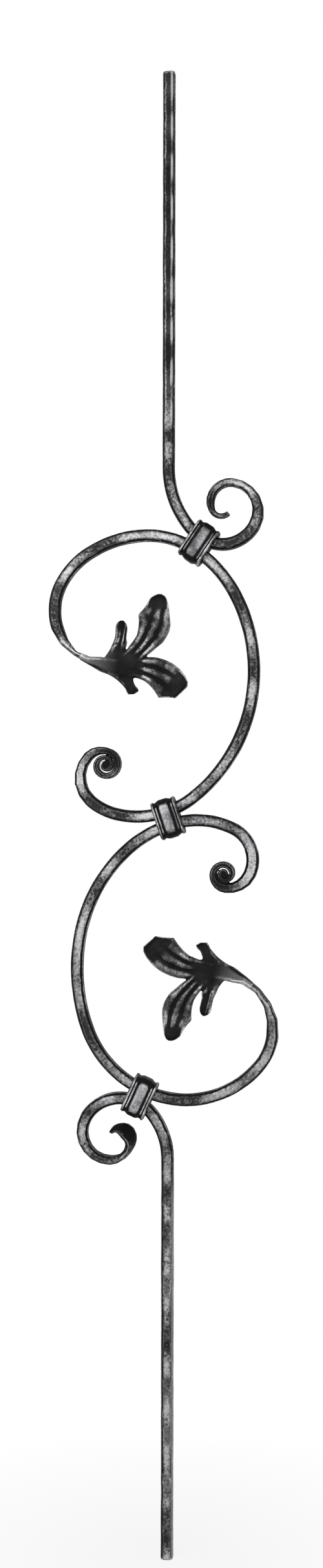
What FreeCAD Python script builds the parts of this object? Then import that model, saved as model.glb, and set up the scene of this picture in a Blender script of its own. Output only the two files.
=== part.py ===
# Forged iron stair baluster: four square bars with hammered edges, two of them ending in leaves,
# bound in pairs by three wrapped collars.
# Frame: origin at the middle of the foot, +Z up along the two tails, +X to the right in the scroll
# plane, +Y to the back. Lengths in millimetres, angles in degrees.
import FreeCAD, Part
import os
from math import atan2, cos, degrees, pi, radians, sin, sqrt

import Sketcher

Vector = FreeCAD.Vector

doc = FreeCAD.newDocument("stair_baluster")
sizes = doc.addObject("Spreadsheet::Sheet", "Sizes")

# Driving dimensions
driving = {
    "total_height": 1200,
    "bar_width": 10.5,
    "edge_chamfer": 2.2,
    "kiss_gap": 0.2,
    # collars: where the two bars touch, and the slope of the bars there
    "upper_collar_reach": 24.3,
    "upper_collar_height": 818.8,
    "upper_collar_tilt": 34,
    "middle_collar_height": 597.7,
    "middle_collar_tilt": 18.5,
    "lower_collar_reach": 22.4,
    "lower_collar_height": 373.1,
    "lower_collar_tilt": 24.5,
    "collar_length": 20.5,
    "collar_wall": 3.2,
    "collar_fit": 0.15,
    "collar_corner": 2.4,
    "collar_seam": 0.5,
    "bead_width": 3.4,
    "bead_rise": 1.2,
    "barrel_rise": 1.7,
    # rolled ends
    "upper_roll_radius": 10.4,
    "lower_roll_radius": 8.9,
    "roll_waist": 8,
    "roll_strip": 5.8,
    "roll_thinned": 5.2,
    "roll_tip": 3.6,
    "roll_depth": 12,
    "roll_late_depth": 9,
    "roll_tip_depth": 6,
    "roll_gap": 0.5,
    "roll_eye": 2.2,
    "roll_core": 7.4,
    "roll_core_lead": 1.2,
    # drawn scroll tips
    "upper_tip_waist": 7,
    "upper_tip_swell": 7.4,
    "upper_tip_width": 5,
    "upper_tip_neck_depth": 7,
    "upper_tip_depth": 6,
    "lower_tip_waist": 7.5,
    "lower_tip_waist_depth": 11.5,
    "flare_start_width": 5.5,
    "flare_start_depth": 12.5,
    "flare_start_roll": 10,
    "flare_width": 4.5,
    "flare_depth": 16,
    "flare_roll": 40,
    "lower_tip_width": 2.5,
    "lower_tip_depth": 5,
    # leaf stem
    "neck_width": 3.8,
    "neck_depth": 10.5,
    "neck_roll": 8,
    "stem_thickness": 4.2,
    "stem_width": 16.5,
    "stem_roll": 84,
    # leaf
    "leaf_thickness": 2.2,
    "flute_depth": 1.7,
    "tip_ridge": 0.2,
    "tip_curl": 7,
    "tip_cup": 1.6,
    "lobe_dish": 1.5,
}

# How finely curves are faceted
end_facet_turn = 18
collar_corner_facets = 3

# Bends as (radius, turn), each list running away from the collar that holds the bar
bends = {
    "upper_scroll_run": [(29.5, 93)],
    "upper_scroll_tip": [(23.5, 114), (16, 120.5), (8, 80), (12, 25)],
    "upper_tail_bend": [(48, 17.5)],
    "upper_bow_start": [(74, 20)],
    "upper_bow_end": [(100, 28)],
    "upper_leaf_run": [(69, 32.5), (87, 38), (63, 24.5), (47, 46)],
    "upper_leaf_stem": [(41.4, 54), (170, 8.5)],
    "upper_roll_run": [(74, 33), (48, 27)],
    "upper_roll_draw": [(25, 92), (15.5, 75)],
    "lower_scroll_run": [(33, 82)],
    "lower_scroll_tip": [(23, 122), (17, 74.5), (10.5, 110), (6, 70)],
    "lower_tail_bend": [(31, 26)],
    "lower_bow_start": [(99, 25)],
    "lower_bow_end": [(87, 47)],
    "lower_leaf_run": [(83, 16.5), (79, 31), (77, 28.5), (47, 30)],
    "lower_leaf_stem": [(44, 70), (96, 15)],
    "lower_roll_run": [(68, 44), (28, 89)],
    "lower_roll_draw": [(19, 72), (12, 50)],
}

# Leaf lobes: root from the end of the stem, direction at root and tip, length of the midrib,
# breadth as a share of the outline's, and how far it lies behind the foremost lobe
lobe_fields = ("along", "across", "aim", "tip_aim", "reach", "breadth", "set_back")
lobes = {
    "upper": {
        "long_lobe": (-1, 0.8, 39, 100, 71.4, 1.02, 0),
        "broad_lobe": (-1, -0.2, 17, -36, 59.2, 1.03, 0.4),
        "round_finger": (-8.2, -0.2, 67, 97, 39.5, 1.03, 0.9),
        "square_finger": (-9, -1.2, -17, -48, 31.8, 1, 1.3),
    },
    "lower": {
        "long_lobe": (0.6, 0.8, 39, 105, 71, 0.93, 0),
        "broad_lobe": (-1, -0.2, 18.4, -34.3, 61.3, 1, 0.4),
        "round_finger": (-4.3, -0.2, 67, 97, 39.8, 1.02, 0.9),
        "square_finger": (-9, -1.2, -17, -48, 31.4, 1, 1.3),
    },
}
# Lobe outlines: share of the midrib, half width to its left and to its right
outlines = {
    "long_lobe": [(0, 6, 6), (0.3, 8.5, 7.5), (0.45, 9.4, 9.8), (0.58, 12.4, 12.6), (0.69, 15.3, 12.1),
                  (0.79, 12.7, 9.3), (0.93, 8.6, 5.8), (0.98, 5.2, 3.8), (1, 1.5, 1)],
    "broad_lobe": [(0, 6, 6), (0.31, 9.6, 8.2), (0.48, 12.2, 10), (0.64, 12.9, 13.5), (0.76, 12.1, 16.2),
                   (0.88, 10.4, 12.1), (0.96, 8.2, 9.3), (1, 5.4, 7.9)],
    "round_finger": [(0, 8, 6), (0.35, 6.2, 5.6), (0.6, 5.5, 5), (0.67, 5.6, 3.8), (0.85, 6.1, 3.5),
                     (0.95, 4.8, 2.1), (1, 2, 0.4)],
    "square_finger": [(0, 6, 5), (0.4, 6, 4.8), (0.72, 5.5, 5.1), (0.84, 3.9, 5.3), (0.92, 4.3, 5.5),
                      (1, 3.6, 1)],
}
ridges = {"long_lobe": 3, "broad_lobe": 3, "round_finger": 2, "square_finger": 2}
flute_span = (-0.08, 0.92)
flute_roundness = 0.6
cup_span = (0.6, 0.94)


row = 0


def put(alias, number):
    global row
    row += 1
    sizes.set(f"A{row}", alias)
    sizes.set(f"B{row}", str(number))
    sizes.setAlias(f"B{row}", alias)


for alias, number in driving.items():
    put(alias, number)
for name, arcs in bends.items():
    for order, (radius, turn) in enumerate(arcs, 1):
        put(f"{name}_radius_{order}", radius)
        put(f"{name}_turn_{order}", turn)
for leaf, leaf_lobes in lobes.items():
    for name, numbers in leaf_lobes.items():
        for field, number in zip(lobe_fields, numbers):
            put(f"{leaf}_{name}_{field}", number)
for name, stations in outlines.items():
    for order, (share, left, right) in enumerate(stations, 1):
        put(f"{name}_share_{order}", share)
        put(f"{name}_left_{order}", left)
        put(f"{name}_right_{order}", right)
doc.recompute()


def size(alias):
    return float(sizes.get(alias))


def bend(name):
    # the arcs of one run, as expressions that name their cells
    count = len(bends[name])
    return [(f"Sizes.{name}_radius_{i}", f"Sizes.{name}_turn_{i}") for i in range(1, count + 1)]


def number_of(expression):
    if isinstance(expression, str):
        return float(sizes.evalExpression(expression))
    return expression


# Plane geometry: a pose is (x, z, heading), headings turn from +X towards +Z


def beside(pose, offset):
    # the pose moved to its left
    x, z, heading = pose
    return (x - offset * sin(radians(heading)), z + offset * cos(radians(heading)), heading)


def turned(pose):
    return (pose[0], pose[1], pose[2] + 180)


def after_arc(pose, radius, turn):
    # a positive turn goes to the left
    x, z, heading = pose
    side = 1 if turn > 0 else -1
    ahead = heading + turn
    x += side * radius * (sin(radians(ahead)) - sin(radians(heading)))
    z -= side * radius * (cos(radians(ahead)) - cos(radians(heading)))
    return (x, z, ahead)


def after_run(pose, arcs, side=1):
    for radius, turn in arcs:
        pose = after_arc(pose, number_of(radius), side * number_of(turn))
    return pose


def bridge(start, finish):
    # two tangent arcs, with equal tangent lengths, from one pose to another
    x, z = finish[0] - start[0], finish[1] - start[1]
    first = (cos(radians(start[2])), sin(radians(start[2])))
    last = (cos(radians(finish[2])), sin(radians(finish[2])))
    a = 2 * (first[0] * last[0] + first[1] * last[1] - 1)
    b = -2 * (x * (first[0] + last[0]) + z * (first[1] + last[1]))
    c = x * x + z * z
    reach = (-b - sqrt(b * b - 4 * a * c)) / (2 * a)
    middle = ((x + reach * (first[0] - last[0])) / 2, (z + reach * (first[1] - last[1])) / 2)
    arcs = []
    heading = start[2]
    for dx, dz in (middle, (x - middle[0], z - middle[1])):
        ahead = cos(radians(heading)) * dx + sin(radians(heading)) * dz
        left = cos(radians(heading)) * dz - sin(radians(heading)) * dx
        turn = 2 * degrees(atan2(left, ahead))
        arcs.append(((dx * dx + dz * dz) / (2 * left), turn))
        heading += turn
    return arcs


def placement(pose):
    x, z, heading = pose
    return FreeCAD.Placement(Vector(x, 0, z), FreeCAD.Rotation(Vector(0, 1, 0), -heading))


# Sketches


def origin_plane(body, role):
    for feature in body.Origin.OriginFeatures:
        if feature.Role == role:
            return feature


def new_sketch(body, name, role):
    sketch = body.newObject("Sketcher::SketchObject", name)
    sketch.AttachmentSupport = (origin_plane(body, role), [""])
    sketch.MapMode = "FlatFace"
    return sketch


def dimension(sketch, kind, *where):
    # the last value of where is a number, or the expression that drives it
    *points, wanted = where
    number = number_of(wanted)
    if kind == "Angle":
        number = radians(number)
    index = sketch.addConstraint(Sketcher.Constraint(kind, *points, number))
    if isinstance(wanted, str):
        unit = "deg" if kind == "Angle" else "mm"
        sketch.renameConstraint(index, f"drive_{index}")
        sketch.setExpression(f"Constraints.drive_{index}", f"({wanted}) * 1 {unit}")


def path_sketch(body, name, arcs, heading, side, tail=0):
    # a chain of tangent arcs from the body's origin, then a straight tail
    sketch = new_sketch(body, name, "XZ_Plane")
    pose = (0.0, 0.0, heading)
    begin, end = (1, 2) if side > 0 else (2, 1)
    for geo, (radius, turn) in enumerate(arcs):
        centre = beside(pose, side * number_of(radius))
        first = radians(pose[2] - side * 90)
        second = first + side * radians(number_of(turn))
        circle = Part.Circle(Vector(centre[0], centre[1], 0), Vector(0, 0, 1), number_of(radius))
        sketch.addGeometry(Part.ArcOfCircle(circle, min(first, second), max(first, second)))
        if geo == 0:
            sketch.addConstraint(Sketcher.Constraint("Coincident", 0, begin, -1, 1))
            sketch.addConstraint(Sketcher.Constraint("PointOnObject", 0, 3, -2))
        else:
            sketch.addConstraint(Sketcher.Constraint("Tangent", geo - 1, end, geo, begin))
        dimension(sketch, "Radius", geo, radius)
        dimension(sketch, "Angle", geo, turn)
        pose = after_arc(pose, number_of(radius), side * number_of(turn))
    if tail:
        geo = len(arcs)
        far = (pose[0] + tail * cos(radians(pose[2])), pose[1] + tail * sin(radians(pose[2])))
        sketch.addGeometry(Part.LineSegment(Vector(pose[0], pose[1], 0), Vector(far[0], far[1], 0)))
        sketch.addConstraint(Sketcher.Constraint("Tangent", geo - 1, end, geo, 1))
        dimension(sketch, "Distance", geo, tail)
    return sketch


def outline_sketch(body, name, role, corners, closed=True):
    sketch = new_sketch(body, name, role)
    count = len(corners) if closed else len(corners) - 1
    for geo in range(count):
        start, finish = (Vector(number_of(x), number_of(y), 0)
                         for x, y in (corners[geo], corners[(geo + 1) % len(corners)]))
        sketch.addGeometry(Part.LineSegment(start, finish))
        if geo:
            sketch.addConstraint(Sketcher.Constraint("Coincident", geo - 1, 2, geo, 1))
        dimension(sketch, "DistanceX", -1, 1, geo, 1, corners[geo][0])
        dimension(sketch, "DistanceY", -1, 1, geo, 1, corners[geo][1])
    if closed:
        sketch.addConstraint(Sketcher.Constraint("Coincident", count - 1, 2, 0, 1))
    else:
        dimension(sketch, "DistanceX", -1, 1, count - 1, 2, corners[-1][0])
        dimension(sketch, "DistanceY", -1, 1, count - 1, 2, corners[-1][1])
    return sketch


# Bars


def octagon(width, depth):
    # the hammered square's corners as (depth, width) shares of the plane across the bar
    chamfer = size("edge_chamfer") * min(width, depth) / size("bar_width")
    w, d = width / 2, depth / 2
    return [
        (d, w - chamfer), (d - chamfer, w), (chamfer - d, w), (-d, w - chamfer),
        (-d, chamfer - w), (chamfer - d, -w), (d - chamfer, -w), (d, chamfer - w),
    ]


def bar_section(body, name):
    flat = "Sizes.bar_width / 2"
    edge = "Sizes.bar_width / 2 - Sizes.edge_chamfer"
    corners = []
    for turn_y, turn_z in ((1, 1), (-1, 1), (-1, -1), (1, -1)):
        pair = [(flat, edge), (edge, flat)]
        if turn_y != turn_z:
            pair.reverse()
        for y, z in pair:
            corners.append((f"{turn_y} * ({y})", f"{turn_z} * ({z})"))
    return outline_sketch(body, name, "YZ_Plane", corners)


def pipe(body, name, section, path):
    feature = body.newObject("PartDesign::AdditivePipe", name)
    feature.Profile = section
    feature.Spine = path
    return feature


def eased(stations, share):
    # widths, depths and rolls between the given stations, without kinks
    for (before, *low), (beyond, *high) in zip(stations, stations[1:]):
        if share <= beyond:
            f = (share - before) / (beyond - before)
            f = f * f * (3 - 2 * f)
            return [a + (b - a) * f for a, b in zip(low, high)]
    return stations[-1][1:]


def drawn_end(name, pose, arcs, side, stations):
    # a bar's end drawn out along its arcs; stations are (share of the length, width, depth, roll)
    arcs = [(number_of(radius), number_of(turn)) for radius, turn in arcs]
    length = sum(radius * radians(turn) for radius, turn in arcs)
    poses = [(0.0, pose)]
    done = 0.0
    for radius, turn in arcs:
        steps = max(2, round(turn / end_facet_turn))
        for step in range(1, steps + 1):
            part_turn = turn * step / steps
            gone = done + radius * radians(part_turn)
            poses.append((gone / length, after_arc(pose, radius, side * part_turn)))
        pose = poses[-1][1]
        done += radius * radians(turn)
    wires = []
    for share, (x, z, heading) in poses:
        width, depth, roll = eased(stations, share)
        left = Vector(-sin(radians(heading)), 0, cos(radians(heading)))
        back = Vector(0, 1, 0)
        across = left * cos(radians(roll)) + back * sin(radians(roll))
        through = back * cos(radians(roll)) - left * sin(radians(roll))
        points = [Vector(x, 0, z) + across * w + through * d for d, w in octagon(width, depth)]
        wires.append(Part.makePolygon(points + points[:1]))
    feature = doc.addObject("Part::Feature", name)
    feature.Shape = Part.makeLoft(wires, True, True)
    return feature, pose


def node(label, pieces):
    fused = doc.addObject("Part::MultiFuse", label)
    fused.Shapes = pieces
    fused.Label = label
    return fused


def seat_rise(radius):
    # how far a curved bar's outer face stands off, from the touching line, at the collar's end
    inner = radius - size("bar_width") / 2
    return radius - sqrt(inner ** 2 - size("collar_length") ** 2 / 4) + size("bar_width") / 2


# Picket: plain tail, bend, collar seat, then a scroll drawn to a tip


def make_picket(name, seat, ground, stations):
    # seat: the bar's middle at the collar, heading to the scroll; ground: height where the tail ends
    upright = 1 if ground > seat[1] else -1
    tail_start = after_run(turned(seat), bend(f"{name}_tail_bend"), -1)
    lean = radians(tail_start[2] if upright > 0 else tail_start[2] - 180)
    closing_radius = upright * tail_start[0] / (1 - sin(lean))
    closing_turn = degrees(lean) % 360 - 90
    tail_end = after_arc(tail_start, closing_radius, -closing_turn)
    tail = abs(ground - tail_end[1])

    body = doc.addObject("PartDesign::Body", f"{name}_picket_bar")
    section = bar_section(body, f"{name}_picket_section")
    bend_arcs = bend(f"{name}_tail_bend") + [(closing_radius, closing_turn)]
    tail_path = path_sketch(body, f"{name}_tail_path", bend_arcs, 180, -1, tail)
    scroll_path = path_sketch(body, f"{name}_scroll_path", bend(f"{name}_scroll_run"), 0, 1)
    doc.recompute()
    pipe(body, f"{name}_tail", section, tail_path)
    pipe(body, f"{name}_scroll", section, scroll_path)
    end_pose = after_run((0, 0, 0), bend(f"{name}_scroll_run"))
    tip, _ = drawn_end(f"{name}_scroll_end", end_pose, bend(f"{name}_scroll_tip"), 1, stations)
    body.Placement = placement(seat)
    tip.Placement = placement(seat)
    return node(f"{name}_picket", [body, tip])


# Leaf scroll: rolled end, collar seat, bow, collar seat, leaf run, leaf


def flute(s, count):
    # rounded ridges with narrow grooves between them, over s from -1 to 1
    phase = 0 if count % 2 else pi / 2
    return abs(cos(count * pi * s / 2 + phase)) ** flute_roundness


def lobe(leaf, name, stem):
    def own(field):
        return size(f"{leaf}_{name}_{field}")

    half_thickness = size("leaf_thickness") / 2
    x, z, heading = stem
    ahead = own("along")
    x, z = x + ahead * cos(radians(heading)), z + ahead * sin(radians(heading))
    x, z, _ = beside((x, z, heading), own("across"))
    root = (x, z, heading + own("aim"))
    turn = own("tip_aim") - own("aim")
    radius = own("reach") / radians(abs(turn))
    count = ridges[name]
    front_samples = [(k + f) * 2 / count - 1 for k in range(count) for f in (0, 0.25, 0.75)] + [1]
    back_samples = (1, 0, -1)
    wires = []
    for order in range(1, len(outlines[name]) + 1):
        share = size(f"{name}_share_{order}")
        halves = {1: size(f"{name}_left_{order}"), -1: size(f"{name}_right_{order}")}
        x, z, heading = after_arc(root, radius, turn * share) if share else root
        bowed = size("lobe_dish") * sin(pi * share) - size("tip_curl") * share ** 4
        depth = own("set_back") + bowed
        swelling = pi * (share - flute_span[0])
        ridge = size("flute_depth") * sqrt(sin(swelling)) if share < flute_span[1] else size("tip_ridge")
        cup = size("tip_cup") * min(1, max(0, (share - cup_span[0]) / (cup_span[1] - cup_span[0])))
        left = Vector(-sin(radians(heading)), 0, cos(radians(heading)))

        def point(s, rise):
            half = own("breadth") * halves[1 if s > 0 else -1]
            return Vector(x, depth + cup * (1 - s * s) + rise, z) + left * (half * s)

        front = [point(s, -half_thickness - ridge * flute(s, count)) for s in front_samples]
        back = [point(s, half_thickness) for s in back_samples]
        wires.append(Part.makePolygon(front + back + front[:1]))
    feature = doc.addObject("Part::Feature", f"{leaf}_{name}")
    feature.Shape = Part.makeLoft(wires, True, True)
    return feature


def roll_arcs(name):
    # quarter turns that tighten just enough for each turn to clear the one round it,
    # until the strip can be bent no tighter
    pitch = (size("roll_strip") + size("roll_tip")) / 2 + size("roll_gap")
    radius = size(f"{name}_roll_radius")
    arcs = []
    while radius > size("roll_eye"):
        arcs.append((radius, 90))
        radius -= pitch / 4
    return arcs


def roll_core(name, tip, radius):
    # the folded tip that closes the eye of the roll, a little ahead of its last bend
    x, z, heading = beside(tip, -radius)
    x += size("roll_core_lead") * cos(radians(heading))
    z += size("roll_core_lead") * sin(radians(heading))
    across, depth = size("roll_core"), size("roll_tip_depth")
    points = [Vector(x + a, -depth / 2, z + b) for a, b in octagon(across, across)]
    feature = doc.addObject("Part::Feature", name)
    feature.Shape = Part.Face(Part.makePolygon(points + points[:1])).extrude(Vector(0, depth, 0))
    return feature


def make_leaf_scroll(name, seat, far_seat, roll_stations, stem_stations):
    # seat: at the middle collar, heading to the bow; far_seat: at the outer collar, same way along
    local_far = placement(seat).inverse().multVec(Vector(far_seat[0], 0, far_seat[1]))
    local_far = (local_far.x, local_far.z, far_seat[2] - seat[2])
    bow_start, bow_end = bend(f"{name}_bow_start"), bend(f"{name}_bow_end")
    leave = after_run((0, 0, 0), bow_start)
    arrive = turned(after_run(turned(local_far), bow_end, -1))
    run = bow_start + bridge(leave, arrive) + bow_end + bend(f"{name}_leaf_run")

    body = doc.addObject("PartDesign::Body", f"{name}_scroll_bar")
    section = bar_section(body, f"{name}_scroll_section")
    bow_path = path_sketch(body, f"{name}_bow_path", run, 0, 1)
    roll_path = path_sketch(body, f"{name}_roll_path", bend(f"{name}_roll_run"), 180, -1)
    doc.recompute()
    pipe(body, f"{name}_bow", section, bow_path)
    pipe(body, f"{name}_roll", section, roll_path)

    roll_start = after_run((0, 0, 180), bend(f"{name}_roll_run"), -1)
    roll_bends = bend(f"{name}_roll_draw") + roll_arcs(name)
    roll, roll_end = drawn_end(f"{name}_roll_end", roll_start, roll_bends, -1, roll_stations)
    core = roll_core(f"{name}_roll_core", roll_end, roll_bends[-1][0])

    stem_start = after_run((0, 0, 0), run)
    stem, stem_end = drawn_end(f"{name}_leaf_stem", stem_start, bend(f"{name}_leaf_stem"), 1, stem_stations)
    blades = [lobe(name, lobe_name, stem_end) for lobe_name in lobes[name]]
    pieces = [body, roll, core, stem] + blades
    for piece in pieces:
        piece.Placement = placement(seat)
    return node(f"{name}_leaf_scroll", pieces)


# Collar: a shaped strip wrapped round two bars, its ends meeting in a seam at the back


def make_collar(name, contact, left_radii, right_radii):
    # left and right of the contact's heading lie the two bars, each with its bends at the seat
    fit = size("collar_fit")
    half_gap = size("kiss_gap") / 2
    left = half_gap + max(seat_rise(radius) for radius in left_radii) + fit
    right = -half_gap - max(seat_rise(radius) for radius in right_radii) - fit
    back = "(Sizes.bar_width / 2 + Sizes.collar_fit)"
    seam = "Sizes.collar_seam / 2"
    middle = (left + right) / 2

    body = doc.addObject("PartDesign::Body", name)
    route = [(back, f"{middle} + {seam}")]
    for quarter, (side, edge) in enumerate((("", left), ("-", left), ("-", right), ("", right))):
        for facet in range(collar_corner_facets + 1):
            angle = pi / 2 * (quarter + facet / collar_corner_facets)
            depth = f"{side}({back} - Sizes.collar_corner)"
            height = f"{edge} {'-' if edge > 0 else '+'} Sizes.collar_corner"
            route.append((f"{depth} + Sizes.collar_corner * {cos(angle):.4f}",
                          f"{height} + Sizes.collar_corner * {sin(angle):.4f}"))
    route.append((back, f"{middle} - {seam}"))
    strip_path = outline_sketch(body, f"{name}_path", "YZ_Plane", route, closed=False)
    end = "Sizes.collar_length / 2"
    groove = f"({end} - Sizes.bead_width)"
    floor = f"({back} + Sizes.collar_wall)"
    half_profile = [
        (end, back),
        (end, f"{floor} + Sizes.bead_rise / 3"),
        (f"{end} - Sizes.bead_width / 3", f"{floor} + Sizes.bead_rise"),
        (f"{groove} + Sizes.bead_width / 3", f"{floor} + Sizes.bead_rise"),
        (groove, floor),
        (f"{groove} / 2", f"{floor} + Sizes.barrel_rise"),
    ]
    mirrored = [(f"-({x})", y) for x, y in reversed(half_profile)]
    profile = outline_sketch(body, f"{name}_profile", "XY_Plane", half_profile + mirrored)
    profile.AttachmentOffset = FreeCAD.Placement(Vector(0, 0, middle + size("collar_seam") / 2),
                                                 FreeCAD.Rotation())
    doc.recompute()
    strip = pipe(body, f"{name}_strip", profile, strip_path)
    strip.Transition = "Right corner"
    body.Placement = placement(contact)
    return body


# Where the bars touch at each collar, heading along the bars to the right
stack = size("bar_width") + size("kiss_gap")
upper_contact = (size("upper_collar_reach"), size("upper_collar_height"), -size("upper_collar_tilt"))
middle_contact = (0, size("middle_collar_height"), size("middle_collar_tilt"))
lower_contact = (-size("lower_collar_reach"), size("lower_collar_height"), -size("lower_collar_tilt"))

bar = size("bar_width")
plain = (0, bar, bar, 0)
# Drawn ends as stations: share of the length, width, depth, roll
roll_shape = [
    plain,
    (0.3, size("roll_waist"), bar, 0),
    (0.43, size("roll_strip"), size("roll_depth"), 0),
    (0.68, size("roll_thinned"), size("roll_depth"), 0),
    (0.87, size("roll_tip"), size("roll_late_depth"), 0),
    (1, size("roll_tip"), size("roll_tip_depth"), 0),
]
neck = (size("neck_width"), size("neck_depth"), size("neck_roll"))
stem_tail = (1, size("stem_thickness"), size("stem_width"), size("stem_roll"))
upper_tip_shape = [
    plain,
    (0.48, size("upper_tip_waist"), bar, 0),
    (0.74, size("upper_tip_swell"), bar, 0),
    (0.9, size("upper_tip_width"), size("upper_tip_neck_depth"), 0),
    (1, size("upper_tip_width"), size("upper_tip_depth"), 0),
]
lower_tip_shape = [
    plain,
    (0.5, size("lower_tip_waist"), size("lower_tip_waist_depth"), 0),
    (0.66, size("flare_start_width"), size("flare_start_depth"), size("flare_start_roll")),
    (0.84, size("flare_width"), size("flare_depth"), size("flare_roll")),
    (1, size("lower_tip_width"), size("lower_tip_depth"), size("flare_roll")),
]

nodes = [
    make_picket("upper", beside(upper_contact, stack / 2), size("total_height"), upper_tip_shape),
    make_leaf_scroll(
        "upper", beside(middle_contact, stack / 2), turned(beside(upper_contact, -stack / 2)),
        roll_shape, [plain, (0.48, *neck), stem_tail],
    ),
    make_leaf_scroll(
        "lower", turned(beside(middle_contact, -stack / 2)), beside(lower_contact, stack / 2),
        roll_shape, [plain, (0.585, *neck), stem_tail],
    ),
    make_picket("lower", turned(beside(lower_contact, -stack / 2)), 0, lower_tip_shape),
]


def radius_of(name):
    # the bend that lies in the collar
    return size(f"{name}_radius_1")


nodes += [
    make_collar("upper_collar", upper_contact,
                [radius_of("upper_scroll_run"), radius_of("upper_tail_bend")],
                [radius_of("upper_bow_end"), radius_of("upper_leaf_run")]),
    make_collar("middle_collar", middle_contact,
                [radius_of("upper_bow_start"), radius_of("upper_roll_run")],
                [radius_of("lower_bow_start"), radius_of("lower_roll_run")]),
    make_collar("lower_collar", lower_contact,
                [radius_of("lower_bow_end"), radius_of("lower_leaf_run")],
                [radius_of("lower_scroll_run"), radius_of("lower_tail_bend")]),
]
doc.recompute()

# Every object has to be sound before anything is written
for thing in doc.Objects:
    if "Invalid" in thing.State or "Error" in thing.State:
        raise RuntimeError(f"{thing.Name} failed: {thing.State}")
for piece in nodes:
    if piece.Shape.isNull() or not piece.Shape.isValid():
        raise RuntimeError(f"{piece.Label} has no valid shape")
    if len(piece.Shape.Solids) != 1:
        raise RuntimeError(f"{piece.Label} is {len(piece.Shape.Solids)} solids")

os.makedirs("parts", exist_ok=True)
for piece in nodes:
    piece.Shape.exportStep(os.path.join("parts", f"{piece.Label}.step"))
    print(piece.Label, round(piece.Shape.Volume), "mm3")
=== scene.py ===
from math import cos, pi, radians, sin
import bmesh
import bpy
import numpy as np
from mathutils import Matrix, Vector


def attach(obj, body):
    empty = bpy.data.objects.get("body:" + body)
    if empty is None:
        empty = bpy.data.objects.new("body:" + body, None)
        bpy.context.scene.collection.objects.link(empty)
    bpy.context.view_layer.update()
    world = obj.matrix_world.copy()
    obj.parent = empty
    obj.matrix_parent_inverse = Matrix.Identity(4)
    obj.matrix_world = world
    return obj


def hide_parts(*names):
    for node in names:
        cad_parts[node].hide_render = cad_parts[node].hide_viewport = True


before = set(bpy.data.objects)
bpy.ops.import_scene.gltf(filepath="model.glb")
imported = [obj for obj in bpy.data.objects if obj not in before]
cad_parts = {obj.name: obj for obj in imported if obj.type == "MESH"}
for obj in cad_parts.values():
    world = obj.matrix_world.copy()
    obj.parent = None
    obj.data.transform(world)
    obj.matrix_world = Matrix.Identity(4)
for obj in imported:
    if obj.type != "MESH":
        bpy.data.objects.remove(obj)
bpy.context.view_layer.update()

mm = 0.001
print("frame loaded:", ", ".join(sorted(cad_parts)))


def addNode(tree, kind, inputs=None, **settings):
    node = tree.nodes.new(kind)
    for name, value in settings.items():
        setattr(node, name, value)
    for key, value in (inputs or {}).items():
        if isinstance(key, int):
            socket = node.inputs[key]
        else:
            socket = next(s for s in node.inputs if s.name == key and s.enabled)
        if isinstance(value, bpy.types.NodeSocket):
            tree.links.new(value, socket)
        else:
            socket.default_value = value
    return node


def calc(tree, operation, *values):
    return addNode(tree, "ShaderNodeMath", dict(enumerate(values)), operation=operation).outputs[0]


def vectorCalc(tree, operation, *values):
    node = addNode(tree, "ShaderNodeVectorMath", dict(enumerate(values)), operation=operation)
    return next(s for s in node.outputs if s.enabled)


def noise(tree, place, size, detail=2.0, roughness=0.5):
    scale = size if isinstance(size, bpy.types.NodeSocket) else 1 / (size * mm)
    return addNode(tree, "ShaderNodeTexNoise", {"Vector": place, "Scale": scale, "Detail": detail,
                                                "Roughness": roughness}).outputs[0]


def spread(tree, value, low, high, toLow=0.0, toHigh=1.0):
    return addNode(tree, "ShaderNodeMapRange", {"Value": value, "From Min": low, "From Max": high,
                                                "To Min": toLow, "To Max": toHigh}).outputs[0]


# hammer marks, as one tree that every iron piece goes through

markInputs = {"dentSize": 13.0, "dentDepth": 0.2, "edgeSize": 15.0, "edgeDepth": 0.8,
              "swellSize": 62.0, "swellDepth": 0.35, "crestSpan": 8, "crestFull": 0.16,
              "easing": 4, "heartX": 0.0, "heartZ": 0.0, "heartSpan": 0.01, "seed": 1.0}
strike = {"meltFrom": 0.35, "meltTurns": 90,  # meltFrom: share of the heart's span that melts fully
          "facingTurns": 4, "frontTurns": 3, "bowlReach": 0.5, "knock": (0.4, 0.7), "knockDetail": 3.0}


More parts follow.
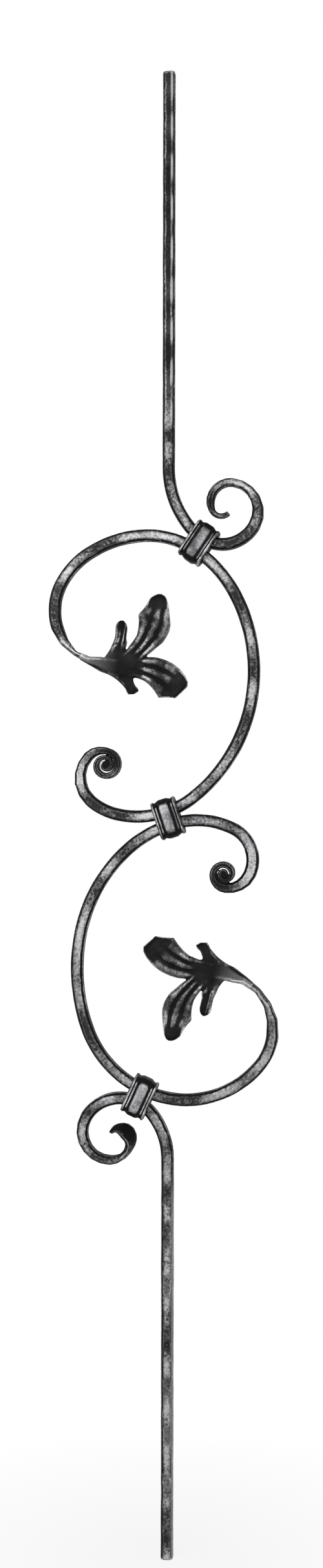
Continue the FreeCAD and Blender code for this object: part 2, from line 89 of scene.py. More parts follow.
def hammerTree():
    tree = bpy.data.node_groups.new("hammerMarks", "GeometryNodeTree")
    face = tree.interface
    face.new_socket("Geometry", in_out="INPUT", socket_type="NodeSocketGeometry")
    for label, value in markInputs.items():
        kind = "NodeSocketInt" if isinstance(value, int) else "NodeSocketFloat"
        face.new_socket(label, in_out="INPUT", socket_type=kind).default_value = value
    face.new_socket("iron", in_out="INPUT", socket_type="NodeSocketMaterial")
    face.new_socket("Geometry", in_out="OUTPUT", socket_type="NodeSocketGeometry")
    given = tree.nodes.new("NodeGroupInput").outputs

    def blurred(value, turns, weight=1.0):
        inputs = {"Value": value, "Iterations": turns, "Weight": weight}
        return addNode(tree, "GeometryNodeBlurAttribute", inputs, data_type="FLOAT_VECTOR").outputs["Value"]

    def millimetres(label):
        return calc(tree, "MULTIPLY", given[label], mm)

    def perSize(label):
        return calc(tree, "DIVIDE", 1.0, millimetres(label))

    place = addNode(tree, "GeometryNodeInputPosition").outputs[0]
    normal = addNode(tree, "GeometryNodeInputNormal").outputs[0]
    eased = addNode(tree, "GeometryNodeSetPosition",
                    {"Geometry": given["Geometry"], "Position": blurred(place, given["easing"])})
    heart = addNode(tree, "ShaderNodeCombineXYZ", {"X": millimetres("heartX"), "Z": millimetres("heartZ")})
    away = vectorCalc(tree, "LENGTH", vectorCalc(tree, "SUBTRACT", place, heart.outputs[0]))
    farShare = calc(tree, "DIVIDE", away, millimetres("heartSpan"))
    melt = spread(tree, farShare, strike["meltFrom"], 1.0, 1.0, 0.0)
    eased = addNode(tree, "GeometryNodeSetPosition",  # the leaf's root melts into its stem
                    {"Geometry": eased.outputs[0], "Position": blurred(place, strike["meltTurns"], melt)})
    facing = vectorCalc(tree, "NORMALIZE", blurred(normal, strike["facingTurns"]))
    sideways = addNode(tree, "ShaderNodeSeparateXYZ", {0: facing}).outputs["Y"]
    square = calc(tree, "MULTIPLY", sideways, sideways)
    edge = calc(tree, "MULTIPLY", calc(tree, "MULTIPLY", square, 4.0),  # 1 half way between front and side
                calc(tree, "SUBTRACT", 1.0, square))
    crisp = addNode(tree, "ShaderNodeSeparateXYZ",
                    {0: vectorCalc(tree, "NORMALIZE", blurred(normal, strike["frontTurns"]))})
    front = calc(tree, "ABSOLUTE", crisp.outputs["Y"])  # 1 on the front and back, 0 on the sides

    shift = addNode(tree, "ShaderNodeCombineXYZ", {"X": given["seed"], "Y": given["seed"]}).outputs[0]
    spot = vectorCalc(tree, "ADD", place, shift)
    swell = noise(tree, spot, perSize("swellSize"))
    cell = addNode(tree, "ShaderNodeTexVoronoi", {"Vector": spot, "Scale": perSize("dentSize")},
                   feature="SMOOTH_F1").outputs["Distance"]
    bowl = spread(tree, calc(tree, "MULTIPLY", cell, cell), 0.0, strike["bowlReach"], 1.0, 0.0)
    knock = spread(tree, noise(tree, spot, perSize("edgeSize"), strike["knockDetail"]), *strike["knock"])
    depth = calc(tree, "MULTIPLY", swell, millimetres("swellDepth"))
    depth = calc(tree, "ADD", depth, calc(tree, "MULTIPLY", bowl, millimetres("dentDepth")))
    struck = calc(tree, "MULTIPLY", knock, calc(tree, "MULTIPLY", edge, millimetres("edgeDepth")))
    depth = calc(tree, "MULTIPLY", calc(tree, "ADD", depth, struck), -1.0)
    push = addNode(tree, "ShaderNodeVectorMath", {0: facing, "Scale": depth}, operation="SCALE")
    forged = addNode(tree, "GeometryNodeSetPosition",
                     {"Geometry": eased.outputs[0], "Offset": push.outputs[0]})

    out = forged.outputs[0]
    proud = vectorCalc(tree, "SUBTRACT", place, blurred(place, given["crestSpan"]))
    height = vectorCalc(tree, "DOT_PRODUCT", proud, facing)
    crest = calc(tree, "DIVIDE", height, millimetres("crestFull"))
    for label, value in (("front", front), ("crest", crest)):
        inputs = {"Geometry": out, "Name": label, "Value": value}
        out = addNode(tree, "GeometryNodeStoreNamedAttribute", inputs,
                      data_type="FLOAT", domain="POINT").outputs[0]
    out = addNode(tree, "GeometryNodeRealizeInstances", {0: out}).outputs[0]
    out = addNode(tree, "GeometryNodeSetMaterial", {"Geometry": out, "Material": given["iron"]}).outputs[0]
    tree.links.new(out, tree.nodes.new("NodeGroupOutput").inputs[0])
    return tree


# black iron, rubbed to bare metal on what stands proud, with painted light: front flats painted bright,
# painted highlights, painted shade and painted sheen

barFinishAndPaintedLight = {"black": (0.0055, 0.0055, 0.006, 1), "bare": (0.42, 0.42, 0.43, 1),
             "front": (0.965, 0.998), "frontShare": 0.95, "frontLeast": 0.06, "sideShare": 0.07,
             "hollow": (-0.9, -0.1), "crest": (0.45, 1.0), "crestShare": 0.85,
             "blotch": 2.3, "patch": 26, "grain": 0.8, "roughBlack": 0.5, "roughBare": 0.36}
leafFinishAndPaintedLight = dict(barFinishAndPaintedLight, front=(0.6, 1.0), frontShare=0.05, sideShare=0.03,
                  crest=(0.12, 0.62), crestShare=1.1, blotch=1.3, patch=12)
collarFinishAndPaintedLight = dict(barFinishAndPaintedLight, front=(0.92, 0.99), frontShare=0.85, frontLeast=0.35,
                    hollow=(-2.5, -1.2), crest=(0.65, 1.0), crestShare=1.0, blotch=2.0, patch=14)
rollFinishAndPaintedLight = dict(barFinishAndPaintedLight, crest=(0.3, 0.8), crestShare=0.9, blotch=1.6)
rubbingAndPaintedLight = {"blotchDetail": 6.0, "blotchRoughness": 0.72, "grainDetail": 3.0, "grainRoughness": 0.7,
           "patchShare": 1.2, "mottle": (0.95, 1.3), "side": (0.3, 0.12),
           "blotchOnCrest": (0.4, 0.6, 0.3, 1.0), "patchOnCrest": (0.42, 0.58, 0.4, 1.2),
           "crestInPaintedShade": 0.55, "paintedSheenShare": 0.4, "grainOnRub": (0.3, 0.7, 0.6, 1.2),
           "grainOnRough": (0.3, 0.7, -0.06, 0.06), "metal": (0.0, 0.4, 0.0, 0.85),
           "bumpBlotch": 0.6, "bumpGrain": 0.4, "bumpStrength": 0.5, "bumpDepth": 0.4, "specular": 0.07}


def ironRubAndPaintedLight(name, finishAndPaintedLight):
    iron = bpy.data.materials.new(name)
    iron.use_nodes = True
    tree = iron.node_tree
    tree.nodes.clear()

    def stored(label):
        return addNode(tree, "ShaderNodeAttribute", attribute_name=label).outputs["Fac"]

    place = addNode(tree, "ShaderNodeTexCoord").outputs["Object"]
    blotch = noise(tree, place, finishAndPaintedLight["blotch"], rubbingAndPaintedLight["blotchDetail"], rubbingAndPaintedLight["blotchRoughness"])
    patch = noise(tree, place, finishAndPaintedLight["patch"])
    grain = noise(tree, place, finishAndPaintedLight["grain"], rubbingAndPaintedLight["grainDetail"], rubbingAndPaintedLight["grainRoughness"])
    patchy = calc(tree, "ADD", blotch, calc(tree, "MULTIPLY", patch, rubbingAndPaintedLight["patchShare"]))
    mottle = spread(tree, patchy, *rubbingAndPaintedLight["mottle"], finishAndPaintedLight["frontLeast"], 1.0)
    front = stored("front")
    # flats facing front and back: rubbed bare metal, and painted brighter than the side flats as if lit
    # from the front; the side flats stay nearly black as painted shade
    frontRubAndPaintedLight = calc(tree, "MULTIPLY", mottle,
                    spread(tree, front, *finishAndPaintedLight["front"], 0.0, finishAndPaintedLight["frontShare"]))
    sideRubAndPaintedShade = calc(tree, "MULTIPLY", mottle,
                   spread(tree, front, *rubbingAndPaintedLight["side"], 0.0, finishAndPaintedLight["sideShare"]))
    crest = stored("crest")
    # what stands proud: rubbed bare metal, and painted highlight lines along edges, beads and leaf ridges
    crestRubAndPaintedHighlight = calc(tree, "MULTIPLY", spread(tree, crest, *finishAndPaintedLight["crest"], 0.0, finishAndPaintedLight["crestShare"]),
                    spread(tree, blotch, *rubbingAndPaintedLight["blotchOnCrest"]))
    crestRubAndPaintedHighlight = calc(tree, "MULTIPLY", crestRubAndPaintedHighlight, spread(tree, patch, *rubbingAndPaintedLight["patchOnCrest"]))
    hollow = spread(tree, crest, *finishAndPaintedLight["hollow"])
    # painted shading on the front flats: a positive value darkens them as shade, a negative one brightens
    # them as painted light
    frontRubAndPaintedLight = calc(tree, "MULTIPLY", frontRubAndPaintedLight, calc(tree, "SUBTRACT", 1.0, stored("paintedFrontShading")))
    # painted shade takes the rub away in the rolls' eyes, at the scroll tips and round the leaf hearts, and
    # dulls the crest lines there
    paintedShade = stored("paintedShade")
    flatRubAndPaintedLight = calc(tree, "MULTIPLY", calc(tree, "ADD", frontRubAndPaintedLight, sideRubAndPaintedShade),
                   calc(tree, "SUBTRACT", 1.0, paintedShade))
    crestRubAndPaintedHighlight = calc(tree, "MULTIPLY", crestRubAndPaintedHighlight,
                    spread(tree, paintedShade, 0.0, 1.0, 1.0, rubbingAndPaintedLight["crestInPaintedShade"]))
    rubAndPaintedLight = calc(tree, "MULTIPLY", calc(tree, "ADD", flatRubAndPaintedLight, crestRubAndPaintedHighlight), hollow)
    # painted sheen and highlight lines added on top
    rubAndPaintedLight = calc(tree, "ADD", rubAndPaintedLight, calc(tree, "MULTIPLY", stored("paintedSheen"), rubbingAndPaintedLight["paintedSheenShare"]))
    rubAndPaintedLight = calc(tree, "MULTIPLY", rubAndPaintedLight, spread(tree, grain, *rubbingAndPaintedLight["grainOnRub"]))
    rubAndPaintedLight = addNode(tree, "ShaderNodeClamp", {"Value": rubAndPaintedLight}).outputs[0]
    colour = addNode(tree, "ShaderNodeMix", {"Factor": rubAndPaintedLight, "A": finishAndPaintedLight["black"], "B": finishAndPaintedLight["bare"]},
                     data_type="RGBA").outputs[2]
    rough = calc(tree, "ADD", spread(tree, rubAndPaintedLight, 0.0, 1.0, finishAndPaintedLight["roughBlack"], finishAndPaintedLight["roughBare"]),
                 spread(tree, grain, *rubbingAndPaintedLight["grainOnRough"]))
    metal = spread(tree, rubAndPaintedLight, *rubbingAndPaintedLight["metal"])
    height = calc(tree, "ADD", calc(tree, "MULTIPLY", blotch, rubbingAndPaintedLight["bumpBlotch"]),
                  calc(tree, "MULTIPLY", grain, rubbingAndPaintedLight["bumpGrain"]))
    bump = addNode(tree, "ShaderNodeBump", {"Height": height, "Strength": rubbingAndPaintedLight["bumpStrength"],
                                            "Distance": rubbingAndPaintedLight["bumpDepth"] * mm})
    shader = addNode(tree, "ShaderNodeBsdfPrincipled",
                     {"Base Color": colour, "Roughness": rough, "Metallic": metal,
                      "Specular IOR Level": rubbingAndPaintedLight["specular"], "Normal": bump.outputs[0]})
    out = addNode(tree, "ShaderNodeOutputMaterial")
    tree.links.new(shader.outputs[0], out.inputs["Surface"])
    return iron


hammer = hammerTree()
barIron = ironRubAndPaintedLight("rubbedBarIronPaintedLight", barFinishAndPaintedLight)
leafIron = ironRubAndPaintedLight("rubbedLeafIronPaintedLight", leafFinishAndPaintedLight)
rollIron = ironRubAndPaintedLight("rubbedRollIronPaintedLight", rollFinishAndPaintedLight)
collarIron = ironRubAndPaintedLight("rubbedCollarIronPaintedLight", collarFinishAndPaintedLight)
print("hammer tree and irons made")

mergeReach = 0.002  # mm


def nodeCopy(node):
    work = bmesh.new()
    work.from_mesh(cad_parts[node].data)
    bmesh.ops.remove_doubles(work, verts=work.verts, dist=mergeReach * mm)
    return work


def asMesh(work, name):
    mesh = bpy.data.meshes.new(name)
    work.to_mesh(mesh)
    work.free()
    return mesh


def dropSpecks(mesh):  # specks that the skin left inside a piece
    work = bmesh.new()
    work.from_mesh(mesh)
    reached, waiting = set(), [max(work.verts, key=lambda v: v.co.x)]
    while waiting:
        vert = waiting.pop()
        if vert not in reached:
            reached.add(vert)
            waiting.extend(e.other_vert(vert) for e in vert.link_edges)
    specks = [v for v in work.verts if v not in reached]
    if specks:
        bmesh.ops.delete(work, geom=specks, context="VERTS")
        work.to_mesh(mesh)
        print(len(specks), "points of specks dropped")
    work.free()


def ironPiece(name, mesh, node, iron, voxel, marks):
    piece = bpy.data.objects.new(name, mesh)
    bpy.context.collection.objects.link(piece)
    skin = piece.modifiers.new("skin", "REMESH")
    skin.mode = "VOXEL"
    skin.voxel_size = voxel * mm
    struck = piece.modifiers.new("marks", "NODES")
    struck.node_group = hammer
    for item in hammer.interface.items_tree:
        if item.in_out == "INPUT" and item.name in markInputs:
            struck[item.identifier] = marks.get(item.name, markInputs[item.name])
        elif item.name == "iron":
            struck[item.identifier] = iron
    graph = bpy.context.evaluated_depsgraph_get()
    made = bpy.data.meshes.new_from_object(piece.evaluated_get(graph), preserve_all_data_layers=True,
                                           depsgraph=graph)
    piece.modifiers.clear()
    piece.data = made
    dropSpecks(made)
    made.shade_smooth()
    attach(piece, "root")
    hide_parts(node)
    print(name, len(made.polygons), "faces")
    return piece


def smooth(low, high, value):
    share = np.clip((value - low) / (high - low), 0, 1)
    return share * share * (3 - 2 * share)


def store(piece, label, make):
    points = np.empty(len(piece.data.vertices) * 3)
    piece.data.vertices.foreach_get("co", points)
    values = make(points.reshape(-1, 3).T / mm)
    piece.data.attributes.new(label, "FLOAT", "POINT").data.foreach_set("value", values)


def closeTo(points, place, reach):
    return smooth(*reach, np.hypot(points[0] - place[0], points[2] - place[1]))


# painted shade in the rolls' eyes and at the scroll tips: x and z in mm, and how far out the black goes
paintedShadeSpots = [(-50.6, 643.5, 20), (45.5, 553.0, 18), (46, 841, 18), (33, 853, 15), (-36, 336, 14)]
paintedShadeCore = 0.35  # share of that reach that is all black


def paintedShadeIn(points):
    paintedShade = 0 * points[0]
    for x, z, span in paintedShadeSpots:
        paintedShade = np.maximum(paintedShade, closeTo(points, (x, z), (span, span * paintedShadeCore)))
    return paintedShade


# bars

barSkin = {"voxel": 0.6}
tails = {"strokeCore": 0.3, "paintedSheenDepth": (3.0, 2.0)}  # the painted sheen band fades out towards the back

# from and full: heights in mm over which the tail's painted shading and painted sheen come in; band:
# stretch of painted sheen across x
pickets = {
    "upper_picket": {"seed": 1.0, "from": 880, "full": 960, "paintedFrontShading": 0.95, "paintedGlint": 0.1, "pitch": 33,
                     "stroke": 14, "band": (1.6, 2.2, 3.2, 3.8), "paintedSheen": 2.6, "paintedSheenBetween": 0.05},
    "lower_picket": {"seed": 2.0, "from": 320, "full": 285, "paintedFrontShading": 0.5, "paintedGlint": 2.6, "pitch": 40,
                     "stroke": 16, "band": (2.9, 3.6, 9.0, 9.1), "paintedSheen": 1.1, "paintedSheenBetween": 1.0},
}


def strokes(z, picket):
    away = np.abs((z / picket["pitch"] + 0.5) % 1 - 0.5) * picket["pitch"]
    return smooth(picket["stroke"], picket["stroke"] * tails["strokeCore"], away)


# the tail's front flats painted darker as shade, with painted glints brightening them at each hammer stroke
def tailPaintedFrontShading(at, picket):
    paintedFrontShading = picket["paintedFrontShading"] * (1 - picket["paintedGlint"] * strokes(at[2], picket))
    return smooth(picket["from"], picket["full"], at[2]) * paintedFrontShading


# painted highlight band down the right of the tail's front, at the hammer strokes or all along
def tailPaintedSheen(at, picket):
    across = np.interp(at[0], picket["band"], (0, 1, 1, 0)) * smooth(*tails["paintedSheenDepth"], at[1])
    along = np.maximum(strokes(at[2], picket), picket["paintedSheenBetween"])
    return smooth(picket["from"], picket["full"], at[2]) * picket["paintedSheen"] * across * along


for node, picket in pickets.items():
    bar = ironPiece(node + "_bar", asMesh(nodeCopy(node), node), node, barIron,
                    barSkin["voxel"], {"seed": picket["seed"]})
    # painted shade, painted front shading and painted sheen stored on each picket
    store(bar, "paintedShade", paintedShadeIn)
    store(bar, "paintedFrontShading", lambda at: tailPaintedFrontShading(at, picket))
    store(bar, "paintedSheen", lambda at: tailPaintedSheen(at, picket))
print("pickets made")

# leaf scrolls: the bar up to the leaf's neck, and the roll and the leaf with finer skins of their own
# a place is x and z in mm in the plane of the scrolls, a heading is in degrees

leafScrolls = {
    "upper_leaf_scroll": {
        "stemEnd": (-40.48, 719.02), "heading": -10.5, "neck": (-72.28, 728.84), "neckHeading": -30.3,
        "roll": (-50.6, 643.5), "rollHeading": 0, "seed": 3.0,
        "longLobe": {"root": (-1, 0.8), "aim": (39, 100), "reach": 71.4, "breadth": 1.02},
        "broadLobe": {"root": (-1, -0.2), "aim": (17, -36), "reach": 59.2, "breadth": 1.03},
        "roundFinger": {"root": (-8.2, -0.2), "aim": (67, 97), "reach": 39.5, "breadth": 1.03},
        "squareFinger": {"root": (-9, -1.2), "aim": (-17, -48), "reach": 31.8, "breadth": 1.0}},
    "lower_leaf_scroll": {
        "stemEnd": (38.51, 476.22), "heading": 166.5, "neck": (68.24, 463.05), "neckHeading": 141.6,
        "roll": (45.5, 553.0), "rollHeading": 180, "seed": 4.0,
        "longLobe": {"root": (0.6, 0.8), "aim": (39, 105), "reach": 71.0, "breadth": 0.93},
        "broadLobe": {"root": (-1, -0.2), "aim": (18.4, -34.3), "reach": 61.3, "breadth": 1.0},
        "roundFinger": {"root": (-4.3, -0.2), "aim": (67, 97), "reach": 39.8, "breadth": 1.02},
        "squareFinger": {"root": (-9, -1.2), "aim": (-17, -48), "reach": 31.4, "breadth": 1.0}},
}
leafSkin = {"voxel": 0.42, "overlap": 3.0, "thickness": 2.2, "ridge": 2.4, "sharpness": 0.62, "dish": 1.5,
            "curl": 6.0, "heart": 2.0, "paintedShade": 0.8, "paintedShadeReach": (15, 4),
            "paintedSheenReach": (34, 8), "paintedSheenDepth": (0.5, -1.0),
            "around": ((-46, -27), (64, 70)),  # corners of its room: ahead and left of the stem's end
            "marks": {"dentSize": 5.0, "dentDepth": 0.12, "edgeDepth": 0.15, "swellDepth": 0.05,
                      "edgeSize": 6.0, "crestSpan": 20, "crestFull": 0.34, "easing": 3, "heartSpan": 19.0}}
blade = {"rows": 110, "across": 72, "fluteLead": 0.08, "cupBlend": 0.2, "cupLead": 0.05, "cupFull": 0.94,
         "lip": (0.95, 1.0), "lipRise": 0.75, "cupBehind": 0.8}  # shares of the reach and of the cup
rollSkin = {"voxel": 0.26, "cut": -15.5, "overlap": 5.0, "sink": 0.45, "sinkSpan": 2.2,
            "around": ((-36, -44), (20, 22)),  # the same, from the roll's eye
            "marks": {"dentSize": 6.0, "dentDepth": 0.12, "edgeSize": 6.0, "edgeDepth": 0.3,
                      "swellDepth": 0.1, "crestSpan": 14, "crestFull": 0.12, "easing": 3}}
lobes = {  # outline as (share of the reach, half width), left and right of the midrib
    "longLobe": {"ridges": 3, "back": 0, "cup": 2.4, "cupFrom": 0.78,
                 "left": [(0, 6), (.3, 8.5), (.44, 9.3), (.51, 10.8), (.62, 13.3), (.69, 15.3), (.72, 14.9),
                          (.785, 12.8), (.87, 10.3), (.945, 8.2), (.98, 5.2), (1, 1.5)],
                 "right": [(0, 6), (.33, 7.6), (.45, 9.8), (.525, 12), (.63, 12.8), (.7, 12), (.765, 10),
                           (.875, 7.2), (.95, 5.4), (.985, 3.4), (1, 1)]},
    "broadLobe": {"ridges": 3, "back": 0.4, "cup": 2.2, "cupFrom": 0.7,
                  "left": [(0, 6), (.31, 9.6), (.39, 10.8), (.47, 12.1), (.57, 12.7), (.67, 12.9),
                           (.775, 12), (.88, 10.4), (.96, 8.2), (1, 5.4)],
                  "right": [(0, 6), (.31, 8.2), (.39, 8.4), (.485, 10.1), (.635, 13.4), (.76, 16.2),
                            (.985, 8.4), (1, 7.9)]},
    "roundFinger": {"ridges": 2, "back": 0.9, "cup": 1.9, "cupFrom": 0.45,
                    "left": [(0, 8), (.35, 6.2), (.51, 5.3), (.66, 5.6), (.83, 6.1), (.91, 5.7),
                             (.965, 4.4), (1, 2)],
                    "right": [(0, 6), (.5, 5.4), (.6, 5.0), (.65, 3.85), (.755, 3.45), (.85, 3.5),
                              (.915, 2.9), (.965, 1.6), (1, -0.6)]},
    "squareFinger": {"ridges": 2, "back": 1.3, "cup": 1.3, "cupFrom": 0.55,
                     "left": [(0, 6), (.5, 6), (.72, 5.6), (.76, 4.7), (.84, 3.9), (.93, 4.3), (1, 3.6)],
                     "right": [(0, 5), (.18, 4.4), (.41, 4.8), (.68, 5.1), (.91, 5.5), (1, 1)]},
}


def inPlane(place, heading, ahead, left):
    turn = radians(heading)
    x = place[0] + ahead * cos(turn) - left * sin(turn)
    z = place[1] + ahead * sin(turn) + left * cos(turn)
    return x, z


def addLobe(work, name, scroll):
    lobe = {**lobes[name], **scroll[name]}
    rows, across = blade["rows"], blade["across"]
    rootX, rootZ = inPlane(scroll["stemEnd"], scroll["heading"], *lobe["root"])
    share = np.linspace(0, 1, rows)
    aim, tipAim = lobe["aim"]
    heading = np.radians(scroll["heading"] + aim + (tipAim - aim) * share)
    step = lobe["reach"] / (rows - 1)
    middle = (heading[:-1] + heading[1:]) / 2
    midX = rootX + np.concatenate(([0], np.cumsum(np.cos(middle) * step)))
    midZ = rootZ + np.concatenate(([0], np.cumsum(np.sin(middle) * step)))
    left = np.interp(share, *zip(*lobe["left"])) * lobe["breadth"]
    right = np.interp(share, *zip(*lobe["right"])) * lobe["breadth"]
    s = np.linspace(-1, 1, across)
    t = share[:, None]
    reach = np.where(s > 0, left[:, None] * s, right[:, None] * s)
    phase = 0 if lobe["ridges"] % 2 else pi / 2
    flute = np.abs(np.cos(lobe["ridges"] * pi * s / 2 + phase)) ** leafSkin["sharpness"]
    cupFrom = lobe["cupFrom"]
    fade = np.sin(pi * np.clip(t + blade["fluteLead"], 0, 1)) ** 0.5
    fade = fade * (1 - smooth(cupFrom, cupFrom + blade["cupBlend"], t))
    hollow = lobe["cup"] * (1 - s ** 2) * smooth(cupFrom - blade["cupLead"], blade["cupFull"], t)
    hollow = hollow * (1 - blade["lipRise"] * smooth(*blade["lip"], t))
    depth = lobe["back"] + leafSkin["dish"] * np.sin(pi * t) - leafSkin["curl"] * t ** 4
    front = depth - leafSkin["thickness"] / 2 - leafSkin["ridge"] * fade * flute + hollow
    back = depth + leafSkin["thickness"] / 2 + hollow * blade["cupBehind"]
    x = midX[:, None] - np.sin(heading)[:, None] * reach
    z = midZ[:, None] + np.cos(heading)[:, None] * reach
    grids = []
    for y in (front, back):
        grids.append([[work.verts.new((x[i, j] * mm, y[i, j] * mm, z[i, j] * mm))
                       for j in range(across)] for i in range(rows)])
    near, far = grids
    for i in range(rows - 1):
        for j in range(across - 1):
            work.faces.new((near[i][j], near[i + 1][j], near[i + 1][j + 1], near[i][j + 1]))
            work.faces.new((far[i][j], far[i][j + 1], far[i + 1][j + 1], far[i + 1][j]))
    rim = ([(i, 0) for i in range(rows)] + [(rows - 1, j) for j in range(1, across)]
           + [(i, across - 1) for i in range(rows - 2, -1, -1)]
           + [(0, j) for j in range(across - 2, 0, -1)])
    for (i, j), (k, m) in zip(rim, rim[1:] + rim[:1]):
        work.faces.new((near[i][j], far[i][j], far[k][m], near[k][m]))


def inRoom(point, room):
    place, heading, (low, high) = room
    turn = radians(heading)
    x, z = point.x / mm - place[0], point.z / mm - place[1]
    ahead, left = x * cos(turn) + z * sin(turn), z * cos(turn) - x * sin(turn)
    return low[0] <= ahead <= high[0] and low[1] <= left <= high[1]


def cutAway(work, place, heading, room, keepBefore):
    faces = [f for f in work.faces if all(inRoom(v.co, room) for v in f.verts)]
    if not keepBefore:
        kept = set(faces)
        bmesh.ops.delete(work, geom=[f for f in work.faces if f not in kept], context="FACES")
        faces = list(work.faces)
    edges, verts = {e for f in faces for e in f.edges}, {v for f in faces for v in f.verts}
    way = Vector((cos(radians(heading)), 0, sin(radians(heading))))
    bmesh.ops.bisect_plane(work, geom=faces + list(edges) + list(verts), plane_no=way,
                           plane_co=(place[0] * mm, 0, place[1] * mm),
                           clear_outer=keepBefore, clear_inner=not keepBefore)
    bmesh.ops.holes_fill(work, edges=[e for e in work.edges if e.is_boundary], sides=0)
    openEdges = sum(not e.is_manifold for e in work.edges)
    if openEdges:
        print("cut left", openEdges, "open edges at", place)


def sinkEnd(piece, place, heading, room):
    points, normals = np.empty((2, len(piece.data.vertices) * 3))
    piece.data.vertices.foreach_get("co", points)
    piece.data.vertices.foreach_get("normal", normals)
    x, _, z = points.reshape(-1, 3).T / mm
    turn = radians(heading)
    away = np.abs((x - place[0]) * cos(turn) + (z - place[1]) * sin(turn))
    inside = np.array([inRoom(v.co, room) for v in piece.data.vertices])
    push = rollSkin["sink"] * mm * smooth(rollSkin["sinkSpan"], 0, away) * inside
    piece.data.vertices.foreach_set("co", points - normals * np.repeat(push, 3))
    piece.data.update()


for node, scroll in leafScrolls.items():
    leafRoom = (scroll["stemEnd"], scroll["heading"], leafSkin["around"])
    rollRoom = (scroll["roll"], scroll["rollHeading"], rollSkin["around"])
    toRoll = scroll["rollHeading"] + 90
    bar = nodeCopy(node)
    pastNeck = inPlane(scroll["neck"], scroll["neckHeading"], leafSkin["overlap"], 0)
    cutAway(bar, pastNeck, scroll["neckHeading"], leafRoom, True)
    barEnd = inPlane(scroll["roll"], scroll["rollHeading"], 0, rollSkin["cut"])
    cutAway(bar, barEnd, toRoll, rollRoom, True)
    bar = ironPiece(node + "_bar", asMesh(bar, node + "_bar"), node, barIron,
                    barSkin["voxel"], {"seed": scroll["seed"]})
    roll = nodeCopy(node)
    below = rollSkin["cut"] - rollSkin["overlap"]
    rollStart = inPlane(scroll["roll"], scroll["rollHeading"], 0, below)
    cutAway(roll, rollStart, toRoll, rollRoom, False)
    marks = dict(rollSkin["marks"], seed=scroll["seed"])
    roll = ironPiece(node + "_roll", asMesh(roll, node + "_roll"), node, rollIron,
                     rollSkin["voxel"], marks)
    for piece, end in ((bar, barEnd), (roll, rollStart)):
        sinkEnd(piece, end, toRoll, rollRoom)  # each end dips below the other's skin
        # painted shade in and near the roll's eye
        store(piece, "paintedShade", paintedShadeIn)
    leaf = nodeCopy(node)
    cutAway(leaf, scroll["neck"], scroll["neckHeading"], leafRoom, False)
    cutAway(leaf, scroll["stemEnd"], scroll["heading"], leafRoom, True)
    for lobe in lobes:
        addLobe(leaf, lobe, scroll)
    bmesh.ops.recalc_face_normals(leaf, faces=leaf.faces)
    heartX, heartZ = inPlane(scroll["stemEnd"], scroll["heading"], leafSkin["heart"], 0)
    marks = dict(leafSkin["marks"], seed=scroll["seed"], heartX=heartX, heartZ=heartZ)
    leaf = ironPiece(node + "_leaf", asMesh(leaf, node + "_leaf"), node, leafIron,
                     leafSkin["voxel"], marks)
    # painted shade round the leaf's heart, where the lobes meet
    store(leaf, "paintedShade", lambda at: leafSkin["paintedShade"]
          * closeTo(at, (heartX, heartZ), leafSkin["paintedShadeReach"]))
    # painted sheen on the front of the stem near the neck
    store(leaf, "paintedSheen", lambda at: closeTo(at, scroll["neck"], leafSkin["paintedSheenReach"])
          * smooth(*leafSkin["paintedSheenDepth"], at[1]))
print("leaf scrolls made")

# collars

collarSkin = {"voxel": 0.4,
              "marks": {"dentSize": 6.0, "dentDepth": 0.22, "edgeDepth": 0.1, "swellDepth": 0.05,
                        "edgeSize": 6.0, "crestSpan": 40, "crestFull": 0.45, "easing": 8}}
# painted shading per collar: darker on the upper collar, lighter on the lower ones
collars = {"upper_collar": {"seed": 6.0, "paintedFrontShading": 0.2}, "middle_collar": {"seed": 7.0, "paintedFrontShading": -0.05},
           "lower_collar": {"seed": 8.0, "paintedFrontShading": -0.45}}

for node, collar in collars.items():
    wrap = ironPiece(node + "_wrap", asMesh(nodeCopy(node), node), node, collarIron,
                     collarSkin["voxel"], dict(collarSkin["marks"], seed=collar["seed"]))
    store(wrap, "paintedFrontShading", lambda at: np.full(len(at[0]), collar["paintedFrontShading"]))
print("collars made")

# floor, light and camera

studio = {"floorRadius": 0.9, "floorSides": 96, "floorGrain": 30, "floorDetail": 4.0,
          "floorTone": (0.3, 0.7, 0.84, 0.88), "floorGlow": (0.04, 0.3, 0.86, 1.0),
          "key": (-0.55, -1.7, 1.15), "keyPower": 15.0, "keySize": (1.1, 1.6),
          "fill": (1.1, -1.5, 0.5), "fillPower": 8.0, "fillSize": (0.9, 1.4),
          "lampAim": (0, 0, 0.6), "worldLight": 0.3}


def seenPlainly(tree):
    path = addNode(tree, "ShaderNodeLightPath").outputs
    mirrored = calc(tree, "MAXIMUM", path["Is Glossy Ray"], path["Is Transmission Ray"])
    return calc(tree, "MAXIMUM", path["Is Camera Ray"], mirrored)


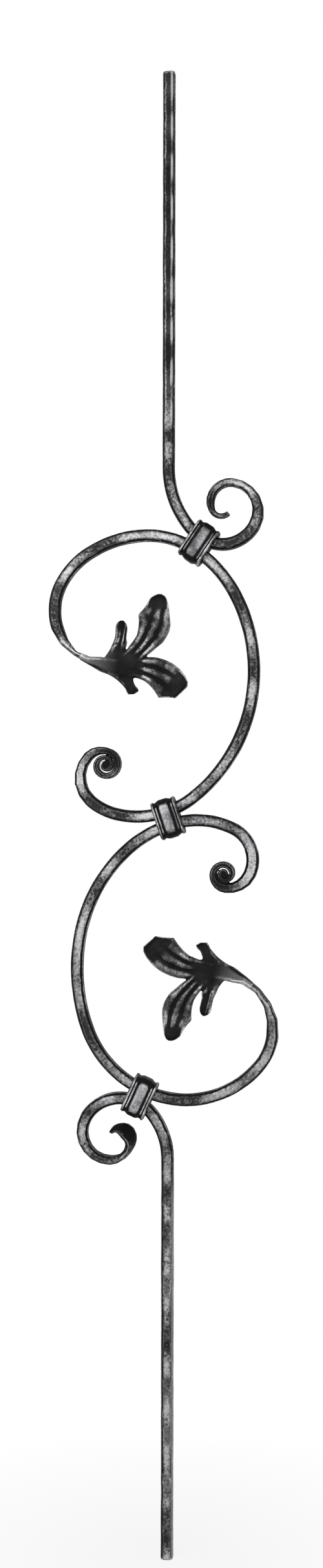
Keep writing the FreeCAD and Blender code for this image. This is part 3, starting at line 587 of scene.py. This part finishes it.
def studioFloor():
    work = bmesh.new()
    bmesh.ops.create_circle(work, cap_ends=True, segments=studio["floorSides"],
                            radius=studio["floorRadius"])
    floor = bpy.data.objects.new("studioFloor", asMesh(work, "studioFloor"))
    bpy.context.collection.objects.link(floor)
    paper = bpy.data.materials.new("palePaper")
    paper.use_nodes = True
    tree = paper.node_tree
    tree.nodes.clear()
    seen = seenPlainly(tree)
    place = addNode(tree, "ShaderNodeTexCoord").outputs["Object"]
    speckle = noise(tree, place, studio["floorGrain"], studio["floorDetail"])
    tone = spread(tree, speckle, *studio["floorTone"])
    matte = addNode(tree, "ShaderNodeBsdfDiffuse", {"Color": tone})
    glow = addNode(tree, "ShaderNodeEmission", {"Strength": 1.0})
    away = vectorCalc(tree, "LENGTH", place)
    share = calc(tree, "MULTIPLY", seen, spread(tree, away, *studio["floorGlow"]))  # shadow near the foot
    both = addNode(tree, "ShaderNodeMixShader", {0: share, 1: matte.outputs[0], 2: glow.outputs[0]})
    out = addNode(tree, "ShaderNodeOutputMaterial")
    tree.links.new(both.outputs[0], out.inputs["Surface"])
    floor.data.materials.append(paper)


def studioWorld():
    world = bpy.data.worlds.new("paleStudio")
    bpy.context.scene.world = world
    world.use_nodes = True
    tree = world.node_tree
    tree.nodes.clear()
    seen = seenPlainly(tree)
    strength = spread(tree, seen, 0.0, 1.0, studio["worldLight"], 1.0)
    sky = addNode(tree, "ShaderNodeBackground", {"Color": (1, 1, 1, 1), "Strength": strength})
    out = addNode(tree, "ShaderNodeOutputWorld")
    tree.links.new(sky.outputs[0], out.inputs["Surface"])


def softLamp(name, place, power, size):
    lamp = bpy.data.lights.new(name, "AREA")
    lamp.shape = "RECTANGLE"
    lamp.size, lamp.size_y = size
    lamp.energy = power
    holder = bpy.data.objects.new(name, lamp)
    bpy.context.collection.objects.link(holder)
    holder.location = place
    aim = Vector(studio["lampAim"]) - Vector(place)
    holder.rotation_euler = aim.to_track_quat("-Z", "Y").to_euler()


photoView = {"distance": 1.45, "height": 0.6, "aside": 6.0, "lens": 41.22, "roll": -0.095,
             "shift": (-0.0043, 0.02), "clipStart": 0.05}


def photoCamera():
    camera = bpy.data.cameras.new("photoCamera")
    camera.lens = photoView["lens"]
    camera.shift_x, camera.shift_y = photoView["shift"]
    camera.clip_start = photoView["clipStart"]
    holder = bpy.data.objects.new("photoCamera", camera)
    bpy.context.collection.objects.link(holder)
    turn, distance = radians(photoView["aside"]), photoView["distance"]
    holder.location = (distance * sin(turn), -distance * cos(turn), photoView["height"])
    holder.rotation_euler = (radians(90), radians(photoView["roll"]), turn)
    bpy.context.scene.camera = holder


studioFloor()
studioWorld()
softLamp("keyLamp", studio["key"], studio["keyPower"], studio["keySize"])
softLamp("fillLamp", studio["fill"], studio["fillPower"], studio["fillSize"])
photoCamera()
bpy.context.scene.view_settings.view_transform = "Standard"
print("studio made")
